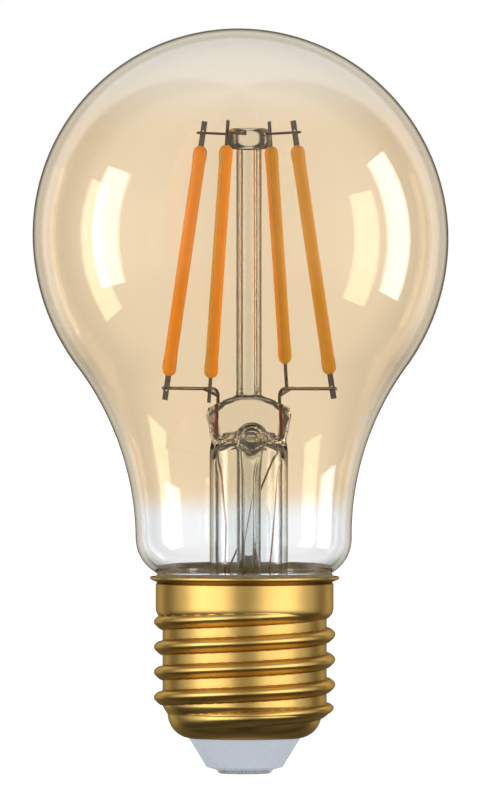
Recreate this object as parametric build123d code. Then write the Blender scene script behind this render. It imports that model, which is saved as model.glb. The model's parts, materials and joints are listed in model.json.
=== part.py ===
from build123d import *
from math import atan2, cos, degrees, hypot, radians, sin, sqrt
import os

os.makedirs("parts", exist_ok=True)

# A60 filament lamp on an E27 screw cap, with a wireless driver in the cap.
# Millimetres. The origin is the middle of the end contact's lower face, and
# +Z runs along the cap's axis towards the glass crown.

# Glass bulb
BULB_DIAMETER = 60.0
LAMP_HEIGHT = 107.5
GLASS_WALL = 0.8
BELLY_RADIUS = 31.5
WAIST_CENTRE = (57.0, 34.0)
SHOULDER_RADIUS = 5.8
SHOULDER_SWEEP = 60.0
NECK_RADIUS = 10.9
NECK_END_Z = 21.0
GLASS_LEAN = 0.6

# Glass stem inside the bulb, a little off the cap's axis
STEM_OFFSET_X = 0.6
FLARE_RADIUS = 5.65
FLARE_WALL = 0.9
FLARE_BEND = 7.0
FLARE_RIM = 0.8
FLARE_FOOT = 9.3
PINCH_START_Z = 46.5
PINCH_TOP_Z = 54.5
PINCH_OVALS = ((49.5, 5.7, 4.2), (51.5, 6.15, 2.6), (53.3, 6.1, 2.35), (PINCH_TOP_Z, 5.0, 2.0))
HOLLOW_OVALS = ((48.4, 4.6, 3.2), (49.8, 3.9, 1.6))
EXHAUST_DIAMETER = 3.5
EXHAUST_BORE = 1.8
EXHAUST_TOP_Z = 50.4
EXHAUST_TIP_Z = 17.8
EXHAUST_END_WALL = 0.8
VENT_Z = 48.6
VENT_DIAMETER = 2.4
POST_DIAMETER = 3.7
POST_BORE = 1.85
POST_START_Z = 52.4
BUTTON_DIAMETER = 6.35
BUTTON_START_Z = 90.05
BUTTON_HEIGHT = 3.05
BUTTON_ROUND = 0.9

# Filaments: four, slanted inwards towards the button
FILAMENT_AZIMUTHS = {"left": 155.0, "front": 245.0, "back": 65.0, "right": -25.0}
COATING_FEET_Z = {"left": 57.6, "front": 57.4, "back": 59.0, "right": 57.9}
COATING_END_Z = 90.6
COATING_END_RADIUS = 7.6
LEVEL_Z = 57.8
LEVEL_RADIUS = 12.85
COATING_WIDTH = 1.95
COATING_HALF_THICKNESS = 0.8
COATING_ROUND = 0.35
STRIP_THICKNESS = 0.3
TAB_WIDTH = 0.83
TAB_THICKNESS = 0.18
TAB_FREE_LENGTH = 3.6
TAB_BURIED_LENGTH = 1.7
TAB_HOLE = (0.6, 0.3)
TAB_HOLE_PLACE = 0.55
CHIP_COUNT = 28
CHIP_SIZE = (0.55, 0.16, 0.75)

# Wires
TOP_WIRE_DIAMETER = 0.36
TOP_WIRE_Z = 92.5
TOP_WIRE_SEALED_RADIUS = 1.6
TOP_WIRE_RISE = 0.3
TOP_WIRE_PAST_TAB = 0.5
LEAD_DIAMETER = 0.48
LEAD_X = 4.45
LEAD_RUN_Z = 55.8
LEAD_BEND = 1.0
LEAD_TO_TAB_GAP = 0.22
LEAD_PAST_TAB = 0.9
ARM_PAST_TAB = 0.5
ARM_START = (0.15, 0.35)
SEAL_DIAMETER = 0.5
SEAL_START_Z = 49.0
SEAL_END_Z = 53.4
OUTER_LEAD_DIAMETER = 0.3
LEFT_LEAD_ROUTE = ((-2.7, -0.3, 36.0), (-2.9, 0.4, 27.0), (-7.4, 2.6, 19.0))
RIGHT_LEAD_ROUTE = (
    (4.4, 0.9, 46.0), (0.9, 3.1, 37.5), (-2.2, 2.4, 29.4), (-2.8, 2.9, 25.0), (-6.3, 5.2, 19.0),
)
LEAD_DROP_Z = 14.0
ANTENNA_DIAMETER = 0.24
ANTENNA_ROUTE = ((4.9, 0.3, 44.5), (4.2, -0.2, 36.0), (3.6, -0.4, 29.0), (3.7, 1.5, 24.0))
ANTENNA_INSET = 0.9
NEUTRAL_DIAMETER = 0.4
NEUTRAL_BEND = 0.35
NEUTRAL_END_Z = 25.5

# Screw cap, 27 mm Edison
CAP_WALL = 0.3
CAP_LIP = (13.65, 28.4)
COLLAR_RADIUS = 12.84
COLLAR_TOP_Z = 27.2
COLLAR_END_Z = 23.1
ROOT_RADIUS = 11.85
ROOT_TOP_Z = 22.3
ROOT_END_Z = 10.0
BOWL_CENTRE = (7.5, 8.7)
BOWL_RADIUS = 3.62
BOWL_SWEEP = 81.3
THREAD_CREST = 1.25
RIDGE_ROUND = 0.3
RIDGE_CREST_HALF = 0.45
RIDGE_ROOT_HALF = 1.2
RIDGE_DEPTH = 1.4
THREAD_PITCH = 3.629
THREAD_START_Z = 7.94
THREAD_START_ANGLE = -120.0
THREAD_END_Z = 22.76
THREAD_SPANS = 4

# Insulator and end contact
CONTACT_RADIUS = 4.1
CONTACT_FLAT_RADIUS = 3.4
CONTACT_DISH = (3.85, 0.2)
CONTACT_HEIGHT = 0.6
CONTACT_GAP = 0.1
SHANK_RADIUS = 1.0
SHANK_TOP_Z = 5.6
CONE_FOOT = (5.5, 0.95)
CONE_TOP_Z = 5.05
INSULATOR_TOP_ANGLE = 30.0
FUNNEL_RADIUS = 2.2
SOLDER_EDGE_RADIUS = 1.9
SOLDER_TOP_Z = 7.1
SOLDER_SHOULDER = (1.1, 6.95)
CEMENT_START_Z = 22.0
CEMENT_TOP_Z = 29.75
CEMENT_BEAD_RADIUS = 12.94
CEMENT_BEVEL = (0.4, 0.6)
CEMENT_CORE_DEPTH = 1.0

# Driver in the cap
BOARD_RADIUS = 9.9
BOARD_THICKNESS = 1.0
BOARD_START_Z = 9.0
BOARD_ENDS = {"left": (-8.6, 2.2), "right": (-6.8, 5.6), "neutral": (9.0, 0.0), "live": (0.0, 0.0)}
PIN_RADIUS = 0.25
HOLE_RADIUS = 0.35
PIN_END_Z = 8.2
SLEEVE_RADIUS = 10.7
SLEEVE_WALL = 0.4
SLEEVE_START_Z = 8.2
SLEEVE_END_Z = 19.0
BODY_ROUND = 0.4
CAPACITOR = {"x": -5.6, "y": -2.5, "radius": 3.15, "height": 7.5, "pins": 1.25}
INDUCTOR = {"x": 5.4, "y": -3.0, "radius": 3.0, "height": 5.5, "pins": 2.0}
FLANGE_HEIGHT = 0.9
WINDING_RECESS = 0.25
FILM_SIZE = (5.5, 2.8, 5.0)
FILM_PLACE = (0.5, -7.6)
FILM_PIN_X = 2.0
FUSE_PLACE = (0.8, 2.6)
FUSE_PIN_X = 4.4
FUSE_AXIS_HEIGHT = 1.6
FUSE_BODY = (1.0, 6.0)
FUSE_CAPS = (1.2, 1.4, 2.3)
RADIO_BOARD = (11.0, 0.8, 8.5)
RADIO_Y = 6.2
RADIO_CAN = (7.0, 1.3, 5.5)
RADIO_CAN_HEIGHT = 2.4
RADIO_PIN_XS = (-3.0, -1.0, 1.0, 3.0)
BRIDGE_SIZE = (4.8, 3.9, 1.5)
BRIDGE_PLACE = (0.5, -3.9)
BRIDGE_LEG = (0.6, 0.9, 0.3)
BRIDGE_LEG_OFFSETS = (1.3, 2.2)
DRIVER_CHIP_SIZE = (3.9, 4.4, 1.4)
DRIVER_CHIP_PLACE = (0.8, 3.2)
DRIVER_CHIP_LEG = (0.8, 0.4, 0.25)
DRIVER_CHIP_LEG_X = 2.2
DRIVER_CHIP_LEG_YS = (-1.65, -0.55, 0.55, 1.65)
SMALL_CHIP_SIZE = (1.25, 2.0, 0.6)
SMALL_CHIP_ANGLES = (-22, -58, 20, 42, 195, 212, 232)
SMALL_CHIP_RADIUS = 7.9

BULB_CENTRE_Z = LAMP_HEIGHT - BULB_DIAMETER / 2
BOARD_TOP_Z = BOARD_START_Z + BOARD_THICKNESS
STEM = Pos(STEM_OFFSET_X, 0, 0)


def save(name, shape):
    """Write one sub-part."""
    export_step(shape, f"parts/{name}.step")


def turn(*edges):
    """Revolve a closed outline of (radius, height) edges about the Z axis."""
    return revolve(Plane.XZ * make_face(list(edges)), Axis.Z)


def upright(radius, start_z, end_z, x=0.0, y=0.0):
    """A solid cylinder that stands along Z."""
    return Pos(x, y, (start_z + end_z) / 2) * Cylinder(radius, end_z - start_z)


def block(size, x, y, start_z):
    """A box that stands on the height start_z."""
    return Pos(x, y, start_z + size[2] / 2) * Box(*size)


def wire(points, diameter, bend=1.0):
    """A round wire: straight runs joined by tangent arcs."""
    path = FilletPolyline(*points, radius=bend) if len(points) > 2 else Line(*points)
    start = Plane(origin=path @ 0, z_dir=path % 0)
    return sweep(start * Circle(diameter / 2), path=path)


# ---- glass bulb


def bulb_side(inset):
    """Edges from the crown's top down to the neck's end, moved inwards by inset."""
    belly_x = BULB_DIAMETER / 2 - BELLY_RADIUS
    waist_x, waist_z = WAIST_CENTRE
    turn_angle = degrees(atan2(BULB_CENTRE_Z - waist_z, waist_x - belly_x))
    waist_radius = hypot(waist_x - belly_x, BULB_CENTRE_Z - waist_z) - BELLY_RADIUS
    shoulder_x = waist_x - waist_radius - SHOULDER_RADIUS
    lean = radians(SHOULDER_SWEEP)
    neck_bend = (shoulder_x + SHOULDER_RADIUS * cos(lean) - NECK_RADIUS) / (1 - cos(lean))
    reach = SHOULDER_RADIUS + neck_bend
    neck_centre = (shoulder_x + reach * cos(lean), waist_z - reach * sin(lean))
    neck_x = NECK_RADIUS - inset
    return [
        CenterArc((0, BULB_CENTRE_Z), BULB_DIAMETER / 2 - inset, 0, 90),
        CenterArc((belly_x, BULB_CENTRE_Z), BELLY_RADIUS - inset, -turn_angle, turn_angle),
        CenterArc(WAIST_CENTRE, waist_radius + inset, 180 - turn_angle, turn_angle),
        CenterArc((shoulder_x, waist_z), SHOULDER_RADIUS - inset, -SHOULDER_SWEEP, SHOULDER_SWEEP),
        CenterArc(neck_centre, neck_bend + inset, 180 - SHOULDER_SWEEP, SHOULDER_SWEEP),
        Line((neck_x, neck_centre[1]), (neck_x, NECK_END_Z - 1)),
    ]


def leaning(shape):
    """Tilt the bulb about its seal, and trim it level there."""
    pivot = Pos(0, 0, NECK_END_Z)
    tilted = pivot * Rotation(0, -GLASS_LEAN, 0) * pivot.inverse() * shape
    return tilted - block((2 * BULB_DIAMETER, 2 * BULB_DIAMETER, 10), 0, 0, NECK_END_Z - 10)


def glass_envelope():
    foot_z = NECK_END_Z - 1
    return leaning(turn(
        *bulb_side(0),
        Line((NECK_RADIUS, foot_z), (NECK_RADIUS - GLASS_WALL, foot_z)),
        *bulb_side(GLASS_WALL),
        Line((0, LAMP_HEIGHT - GLASS_WALL), (0, LAMP_HEIGHT)),
    ))


def bulb_block():
    """The bulb without its hollow, to cut from what it is set in."""
    foot_z = NECK_END_Z - 1
    return leaning(turn(
        *bulb_side(0),
        Line((NECK_RADIUS, foot_z), (0, foot_z)),
        Line((0, foot_z), (0, LAMP_HEIGHT)),
    ))


# ---- screw cap


def cap_side(inset):
    """Edges from the lip down to the bowl's end, moved inwards by inset."""
    return [
        Polyline(
            (CAP_LIP[0] - inset, CAP_LIP[1]),
            (COLLAR_RADIUS - inset, COLLAR_TOP_Z),
            (COLLAR_RADIUS - inset, COLLAR_END_Z),
            (ROOT_RADIUS - inset, ROOT_TOP_Z),
            (ROOT_RADIUS - inset, ROOT_END_Z),
            (BOWL_CENTRE[0] + BOWL_RADIUS - inset, BOWL_CENTRE[1]),
        ),
        CenterArc(BOWL_CENTRE, BOWL_RADIUS - inset, -BOWL_SWEEP, BOWL_SWEEP),
    ]


def bowl_point(inset, angle):
    """A point on the bowl's arc, at an angle from the horizontal."""
    radius = BOWL_RADIUS - inset
    x = BOWL_CENTRE[0] + radius * cos(radians(angle))
    return (x, BOWL_CENTRE[1] + radius * sin(radians(angle)))


def thread_spans(inset):
    """The right-hand knuckle thread, or with an inset the hollow rolled behind it, in spans."""
    base = -RIDGE_DEPTH - inset
    flank_top = THREAD_CREST - RIDGE_ROUND - inset
    crest_half = RIDGE_CREST_HALF - inset / 3
    root_half = RIDGE_ROOT_HALF - 0.75 * inset
    outline = [
        Polyline(
            (flank_top, crest_half), (-inset, root_half), (base, root_half),
            (base, -root_half), (-inset, -root_half), (flank_top, -crest_half),
        ),
        ThreePointArc(
            (flank_top, -crest_half), (THREAD_CREST - inset, 0), (flank_top, crest_half)
        ),
    ]
    height = (THREAD_END_Z - THREAD_START_Z) / THREAD_SPANS
    path = Helix(THREAD_PITCH, height, ROOT_RADIUS)
    section = Plane(origin=path @ 0, x_dir=(1, 0, 0), z_dir=path % 0) * make_face(outline)
    span = sweep(section, path=path, is_frenet=True)
    return [
        Pos(0, 0, THREAD_START_Z + n * height)
        * Rotation(0, 0, THREAD_START_ANGLE + 360 * n * height / THREAD_PITCH) * span
        for n in range(THREAD_SPANS)
    ]


def cap_block(inset):
    """The space inside one of the shell's faces, closed to the axis."""
    foot = bowl_point(inset, -BOWL_SWEEP)
    lip = (CAP_LIP[0] - inset, CAP_LIP[1])
    return turn(*cap_side(inset), Polyline(foot, (0, foot[1]), (0, lip[1]), lip))


def screw_shell():
    """A thin shell with its thread rolled into it."""
    shell = cap_block(0)
    for span in thread_spans(0):
        shell += span
    shell -= cap_block(CAP_WALL)
    for span in thread_spans(CAP_WALL):
        shell -= span
    return shell - upright(bowl_point(CAP_WALL, -BOWL_SWEEP)[0], 0, BOWL_CENTRE[1])


def insulator():
    """The glassy cone under the shell, with a funnel for the contact's solder."""
    top_x, top_z = bowl_point(CAP_WALL, -INSULATOR_TOP_ANGLE)
    foot_x, foot_z = bowl_point(CAP_WALL, -BOWL_SWEEP)
    return turn(
        Polyline(
            (top_x, top_z), (FUNNEL_RADIUS, top_z), (SHANK_RADIUS, SHANK_TOP_Z),
            (SHANK_RADIUS, CONTACT_HEIGHT), (CONTACT_RADIUS + CONTACT_GAP, CONTACT_HEIGHT),
            CONE_FOOT, (foot_x, CONE_TOP_Z), (foot_x, foot_z),
        ),
        CenterArc(
            BOWL_CENTRE, BOWL_RADIUS - CAP_WALL, -BOWL_SWEEP, BOWL_SWEEP - INSULATOR_TOP_ANGLE
        ),
    )


def centre_contact():
    """A rivet: a dished disc with a flat middle, and a solid shank."""
    return turn(
        Line((0, 0), (CONTACT_FLAT_RADIUS, 0)),
        ThreePointArc((CONTACT_FLAT_RADIUS, 0), CONTACT_DISH, (CONTACT_RADIUS, CONTACT_HEIGHT)),
        Polyline(
            (CONTACT_RADIUS, CONTACT_HEIGHT), (SHANK_RADIUS, CONTACT_HEIGHT),
            (SHANK_RADIUS, SHANK_TOP_Z), (0, SHANK_TOP_Z), (0, 0),
        ),
    )


def contact_solder():
    """The joint that fills the insulator's funnel over the rivet's shank."""
    funnel_top_z = bowl_point(CAP_WALL, -INSULATOR_TOP_ANGLE)[1]
    slope = (funnel_top_z - SHANK_TOP_Z) / (FUNNEL_RADIUS - SHANK_RADIUS)
    edge = (SOLDER_EDGE_RADIUS, SHANK_TOP_Z + (SOLDER_EDGE_RADIUS - SHANK_RADIUS) * slope)
    return turn(
        Polyline((0, SOLDER_TOP_Z), (0, SHANK_TOP_Z), (SHANK_RADIUS, SHANK_TOP_Z), edge),
        ThreePointArc(edge, SOLDER_SHOULDER, (0, SOLDER_TOP_Z)),
    )


def basing_cement():
    """Cement between the neck and the collar, with a bead proud of the lip."""
    core = NECK_RADIUS - CEMENT_CORE_DEPTH
    bevel_x, bevel_z = CEMENT_BEVEL
    root = ROOT_RADIUS - CAP_WALL
    collar = COLLAR_RADIUS - CAP_WALL
    slope = (CAP_LIP[0] - COLLAR_RADIUS) / (CAP_LIP[1] - COLLAR_TOP_Z)
    bead_start_z = COLLAR_TOP_Z + (CEMENT_BEAD_RADIUS - collar) / slope
    return turn(Polyline(
        (core, CEMENT_START_Z), (root, CEMENT_START_Z), (root, ROOT_TOP_Z),
        (collar, COLLAR_END_Z), (collar, COLLAR_TOP_Z), (CEMENT_BEAD_RADIUS, bead_start_z),
        (CEMENT_BEAD_RADIUS, CEMENT_TOP_Z - bevel_z), (CEMENT_BEAD_RADIUS - bevel_x, CEMENT_TOP_Z),
        (core, CEMENT_TOP_Z), close=True,
    )) - bulb_block()


# ---- glass stem


def oval_loft(stations):
    """A smooth loft through level ovals, each (height, half width, half depth)."""
    return loft([Pos(0, 0, z) * Ellipse(a, b) for z, a, b in stations])


def stem_flare():
    """The trumpet that closes the neck, and the pinch that seals its top."""
    bend_x = FLARE_RADIUS + FLARE_BEND
    inner_bend = FLARE_BEND + FLARE_WALL
    bend_z = NECK_END_Z + sqrt(FLARE_BEND**2 - (bend_x - FLARE_FOOT) ** 2)
    rim_z = NECK_END_Z - FLARE_RIM
    rim_x = bend_x - sqrt(inner_bend**2 - (bend_z - rim_z) ** 2)
    outer_angle = degrees(atan2(bend_z - NECK_END_Z, bend_x - FLARE_FOOT))
    inner_angle = degrees(atan2(bend_z - rim_z, bend_x - rim_x))
    tube_inside = FLARE_RADIUS - FLARE_WALL
    trumpet = turn(
        Polyline((tube_inside, bend_z), (tube_inside, PINCH_START_Z),
                 (FLARE_RADIUS, PINCH_START_Z), (FLARE_RADIUS, bend_z)),
        CenterArc((bend_x, bend_z), FLARE_BEND, 180, outer_angle),
        Polyline((FLARE_FOOT, NECK_END_Z), (FLARE_FOOT, rim_z), (rim_x, rim_z)),
        CenterArc((bend_x, bend_z), inner_bend, 180, inner_angle),
    )
    pinch = oval_loft([(PINCH_START_Z, FLARE_RADIUS, FLARE_RADIUS), *PINCH_OVALS])
    hollow = oval_loft([(PINCH_START_Z, tube_inside, tube_inside), *HOLLOW_OVALS])
    vent = Plane(origin=(0, 0, VENT_Z), z_dir=(0, -1, 0))
    boss = pinch & (vent * Pos(0, 0, FLARE_RADIUS / 2) * Cylinder(VENT_DIAMETER, FLARE_RADIUS))
    bore = vent * Pos(0, 0, FLARE_RADIUS / 2) * Cylinder(VENT_DIAMETER / 2, FLARE_RADIUS)
    rim = upright(NECK_RADIUS, rim_z, NECK_END_Z)
    rim -= STEM * upright(FLARE_FOOT - 0.2, rim_z, NECK_END_Z)
    return STEM * (trumpet + (pinch - hollow) + boss - bore) + rim


def exhaust_tube():
    """The pumping tube, tipped off below and open to the bulb through the vent."""
    radius = EXHAUST_DIAMETER / 2
    bore = EXHAUST_BORE / 2
    tip = Pos(0, 0, EXHAUST_TIP_Z + radius) * Sphere(radius)
    tube = tip + upright(radius, EXHAUST_TIP_Z + radius, EXHAUST_TOP_Z)
    tube -= upright(bore, EXHAUST_TIP_Z + radius, EXHAUST_TOP_Z - EXHAUST_END_WALL)
    facing = Plane(origin=(0, 0, VENT_Z), z_dir=(0, -1, 0))
    return STEM * (tube - facing * Pos(0, 0, radius) * Cylinder(bore, 2 * radius))


def support_post():
    """The glass tube that carries the button."""
    tube = upright(POST_DIAMETER / 2, POST_START_Z, BUTTON_START_Z)
    return STEM * (tube - upright(POST_BORE / 2, POST_START_Z, BUTTON_START_Z))


def post_button():
    """The glass bead that holds the four upper wires."""
    bead = upright(BUTTON_DIAMETER / 2, BUTTON_START_Z, BUTTON_START_Z + BUTTON_HEIGHT)
    return STEM * fillet(bead.edges().filter_by(GeomType.CIRCLE), BUTTON_ROUND)


# ---- filaments, drawn upright with +X outwards, then tilted into place

SLANT = degrees(atan2(LEVEL_RADIUS - COATING_END_RADIUS, COATING_END_Z - LEVEL_Z))


def slanted_radius(z):
    """How far a filament's middle stands from the stem's axis at a height."""
    slope = (LEVEL_RADIUS - COATING_END_RADIUS) / (COATING_END_Z - LEVEL_Z)
    return LEVEL_RADIUS + (LEVEL_Z - z) * slope


def coating_length(side):
    return (COATING_END_Z - COATING_FEET_Z[side]) / cos(radians(SLANT))


def on_cage(side):
    """The place of a filament: the foot of its coating, tilted inwards."""
    foot_z = COATING_FEET_Z[side]
    return (
        STEM * Rotation(0, 0, FILAMENT_AZIMUTHS[side])
        * Pos(slanted_radius(foot_z), 0, foot_z) * Rotation(0, -SLANT, 0)
    )


def end_tabs(length):
    """Two flat metal ends, each with an oval hole and a half buried in the strip."""
    middle = (TAB_BURIED_LENGTH - TAB_FREE_LENGTH) / 2
    tab = Pos(0, 0, middle) * Box(TAB_WIDTH, TAB_THICKNESS, TAB_FREE_LENGTH + TAB_BURIED_LENGTH)
    hole = Rotation(90, 0, 0) * extrude(SlotOverall(*TAB_HOLE, rotation=90), 1, both=True)
    tab -= Pos(0, 0, -TAB_HOLE_PLACE * TAB_FREE_LENGTH) * hole
    return tab + Pos(0, 0, length) * Rotation(180, 0, 0) * tab


def filament_strip(length):
    """The carrier under the chips, slotted at both ends for the tabs."""
    strip = Pos(0, 0, length / 2) * Box(COATING_WIDTH, STRIP_THICKNESS, length)
    return strip - end_tabs(length)


def led_chips(length):
    """The row of dies on the strip's anticlockwise face."""
    step = (length - 2 * TAB_BURIED_LENGTH) / CHIP_COUNT
    y = (STRIP_THICKNESS + CHIP_SIZE[1]) / 2
    return Compound(children=[
        Pos(0, y, TAB_BURIED_LENGTH + (n + 0.5) * step) * Box(*CHIP_SIZE) for n in range(CHIP_COUNT)
    ])


def coating(length):
    """Half of the phosphor coating: a domed bar with rounded ends."""
    half = COATING_WIDTH / 2
    dome = make_face([
        Line((half, 0), (-half, 0)),
        ThreePointArc((-half, 0), (0, COATING_HALF_THICKNESS), (half, 0)),
    ])
    bar = extrude(dome, length)
    ends = bar.faces().filter_by(Axis.Z).edges().filter_by(GeomType.CIRCLE)
    return Pos(0, STRIP_THICKNESS / 2, 0) * fillet(ends, COATING_ROUND)


def top_wire():
    """A wire from the button to the side of a filament's upper tab."""
    y = (TAB_THICKNESS + TOP_WIRE_DIAMETER) / 2
    sealed = (TOP_WIRE_SEALED_RADIUS, y, TOP_WIRE_Z - TOP_WIRE_RISE)
    return wire([sealed, (COATING_END_RADIUS + TOP_WIRE_PAST_TAB, y, TOP_WIRE_Z)], TOP_WIRE_DIAMETER)


# ---- wires of the stem


def beside_tab(side, past):
    """A point beside a lower tab's clockwise face, a little past the tab."""
    y = -(TAB_THICKNESS + LEAD_DIAMETER) / 2 - LEAD_TO_TAB_GAP
    point = Vector(slanted_radius(LEAD_RUN_Z) + past, y, LEAD_RUN_Z)
    return point.rotate(Axis.Z, FILAMENT_AZIMUTHS[side])


def lead_wire(side, sign):
    """From the pinch up to a filament's lower tab."""
    upright_x = sign * LEAD_X
    points = [(upright_x, 0, SEAL_END_Z), (upright_x, 0, LEAD_RUN_Z), beside_tab(side, LEAD_PAST_TAB)]
    return STEM * wire(points, LEAD_DIAMETER, LEAD_BEND)


def cross_arm(side, sign):
    """From the lead's upright stretch across to the other filament of its pair."""
    start = (sign * (LEAD_X + ARM_START[0]), 0, PINCH_TOP_Z + ARM_START[1])
    return STEM * wire([start, beside_tab(side, ARM_PAST_TAB)], LEAD_DIAMETER)


def seal_wire(sign):
    """The copper-clad length that is sealed in the pinch."""
    return STEM * upright(SEAL_DIAMETER / 2, SEAL_START_Z, SEAL_END_Z, x=sign * LEAD_X)


def outer_lead(sign, side, route):
    """From the pinch down the stem to the board."""
    x, y = BOARD_ENDS[side]
    start = (STEM_OFFSET_X + sign * LEAD_X, 0, SEAL_START_Z)
    return wire([start, *route, (x, y, LEAD_DROP_Z), (x, y, PIN_END_Z)], OUTER_LEAD_DIAMETER)


def antenna_wire():
    """The radio's aerial, which reaches up inside the stem, clear of the metal cap."""
    end = (RADIO_BOARD[0] / 2 - ANTENNA_INSET, RADIO_Y, BOARD_TOP_Z + RADIO_BOARD[2])
    return wire([*ANTENNA_ROUTE, end], ANTENNA_DIAMETER)


def live_wire():
    return upright(HOLE_RADIUS - 0.05, SOLDER_TOP_Z - 0.8, BOARD_TOP_Z + 0.6)


def neutral_wire():
    """From the board over the sleeve's edge, and up between the neck and the collar."""
    x, y = BOARD_ENDS["neutral"]
    gap = (NECK_RADIUS + ROOT_RADIUS - CAP_WALL) / 2
    rise_z = (SLEEVE_END_Z + NECK_END_Z - FLARE_RIM) / 2
    points = [
        (x, y, PIN_END_Z), (x, y, rise_z - 1.2), (x + 0.4, y, rise_z), (gap, y, rise_z),
        (gap, y, NEUTRAL_END_Z),
    ]
    return wire(points, NEUTRAL_DIAMETER, NEUTRAL_BEND)


# ---- driver


def pin(x, y, top_z=BOARD_TOP_Z):
    """A component's leg through the board."""
    return upright(PIN_RADIUS, PIN_END_Z, top_z, x, y)


def pin_places():
    """Where the board is drilled."""
    c, i = CAPACITOR, INDUCTOR
    film_x, film_y = FILM_PLACE
    fuse_x, fuse_y = FUSE_PLACE
    return [
        *BOARD_ENDS.values(),
        (c["x"], c["y"] - c["pins"]), (c["x"], c["y"] + c["pins"]),
        (i["x"], i["y"] - i["pins"]), (i["x"], i["y"] + i["pins"]),
        (film_x - FILM_PIN_X, film_y), (film_x + FILM_PIN_X, film_y),
        (fuse_x - FUSE_PIN_X, fuse_y), (fuse_x + FUSE_PIN_X, fuse_y),
        *[(x, RADIO_Y) for x in RADIO_PIN_XS],
    ]


def driver_board():
    board = upright(BOARD_RADIUS, BOARD_START_Z, BOARD_TOP_Z)
    for x, y in pin_places():
        board -= upright(HOLE_RADIUS, BOARD_START_Z, BOARD_TOP_Z, x, y)
    return board


def electrolytic_capacitor():
    c = CAPACITOR
    can = upright(c["radius"], BOARD_TOP_Z, BOARD_TOP_Z + c["height"], c["x"], c["y"])
    can = fillet(can.edges().filter_by(GeomType.CIRCLE), BODY_ROUND)
    return can + [pin(c["x"], c["y"] + dy) for dy in (-c["pins"], c["pins"])]


def inductor_core():
    """A ferrite bobbin with two legs."""
    i = INDUCTOR
    top_z = BOARD_TOP_Z + i["height"]
    flanges = [
        upright(i["radius"], z, z + FLANGE_HEIGHT, i["x"], i["y"])
        for z in (BOARD_TOP_Z, top_z - FLANGE_HEIGHT)
    ]
    legs = [pin(i["x"], i["y"] + dy) for dy in (-i["pins"], i["pins"])]
    return upright(i["radius"] / 2, BOARD_TOP_Z, top_z, i["x"], i["y"]) + flanges + legs


def inductor_winding():
    i = INDUCTOR
    start_z = BOARD_TOP_Z + FLANGE_HEIGHT
    end_z = BOARD_TOP_Z + i["height"] - FLANGE_HEIGHT
    ring = upright(i["radius"] - WINDING_RECESS, start_z, end_z, i["x"], i["y"])
    return ring - upright(i["radius"] / 2, start_z, end_z, i["x"], i["y"])


def film_capacitor():
    x, y = FILM_PLACE
    body = block(FILM_SIZE, x, y, BOARD_TOP_Z)
    body = fillet(body.edges().filter_by(Axis.Z), BODY_ROUND)
    return body + [pin(x + dx, y) for dx in (-FILM_PIN_X, FILM_PIN_X)]


def fusible_resistor():
    """An axial resistor that lies over the board on its own two wires."""
    x, y = FUSE_PLACE
    height = BOARD_TOP_Z + FUSE_AXIS_HEIGHT
    legs = wire([
        (x - FUSE_PIN_X, y, PIN_END_Z), (x - FUSE_PIN_X, y, height),
        (x + FUSE_PIN_X, y, height), (x + FUSE_PIN_X, y, PIN_END_Z),
    ], 2 * PIN_RADIUS, 0.6)
    lying = Pos(x, y, height) * Rotation(0, 90, 0)
    cap_radius, cap_length, cap_x = FUSE_CAPS
    ends = [lying * Pos(0, 0, dz) * Cylinder(cap_radius, cap_length) for dz in (-cap_x, cap_x)]
    return legs + lying * Cylinder(*FUSE_BODY) + ends


def radio_board():
    """The wireless module's own board, which stands on a row of pins."""
    return block(RADIO_BOARD, 0, RADIO_Y, BOARD_TOP_Z) + [pin(x, RADIO_Y) for x in RADIO_PIN_XS]


def radio_shield():
    y = RADIO_Y - (RADIO_BOARD[1] + RADIO_CAN[1]) / 2
    can = block(RADIO_CAN, 0.0, y, BOARD_TOP_Z + RADIO_CAN_HEIGHT)
    return fillet(can.edges().filter_by(Axis.Y), BODY_ROUND)


def bridge_rectifier():
    x, y = BRIDGE_PLACE
    leg_x, leg_y = BRIDGE_LEG_OFFSETS
    legs = [
        block(BRIDGE_LEG, x + dx, y + dy, BOARD_START_Z - BRIDGE_LEG[2])
        for dx in (-leg_x, leg_x) for dy in (-leg_y, leg_y)
    ]
    return block(BRIDGE_SIZE, x, y, BOARD_START_Z - BRIDGE_SIZE[2]) + legs


def driver_chip():
    x, y = DRIVER_CHIP_PLACE
    legs = [
        block(DRIVER_CHIP_LEG, x + dx, y + dy, BOARD_START_Z - DRIVER_CHIP_LEG[2])
        for dx in (-DRIVER_CHIP_LEG_X, DRIVER_CHIP_LEG_X) for dy in DRIVER_CHIP_LEG_YS
    ]
    return block(DRIVER_CHIP_SIZE, x, y, BOARD_START_Z - DRIVER_CHIP_SIZE[2]) + legs


def small_chips():
    """Resistors and ceramic capacitors around the board's lower face."""
    chip = block(SMALL_CHIP_SIZE, SMALL_CHIP_RADIUS, 0, BOARD_START_Z - SMALL_CHIP_SIZE[2])
    return Compound(children=[Rotation(0, 0, angle) * chip for angle in SMALL_CHIP_ANGLES])


def insulating_sleeve():
    outside = upright(SLEEVE_RADIUS, SLEEVE_START_Z, SLEEVE_END_Z)
    return outside - upright(SLEEVE_RADIUS - SLEEVE_WALL, SLEEVE_START_Z, SLEEVE_END_Z)


# ---- the assembly: what is set into glass, cement or solder is cut from it

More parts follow.
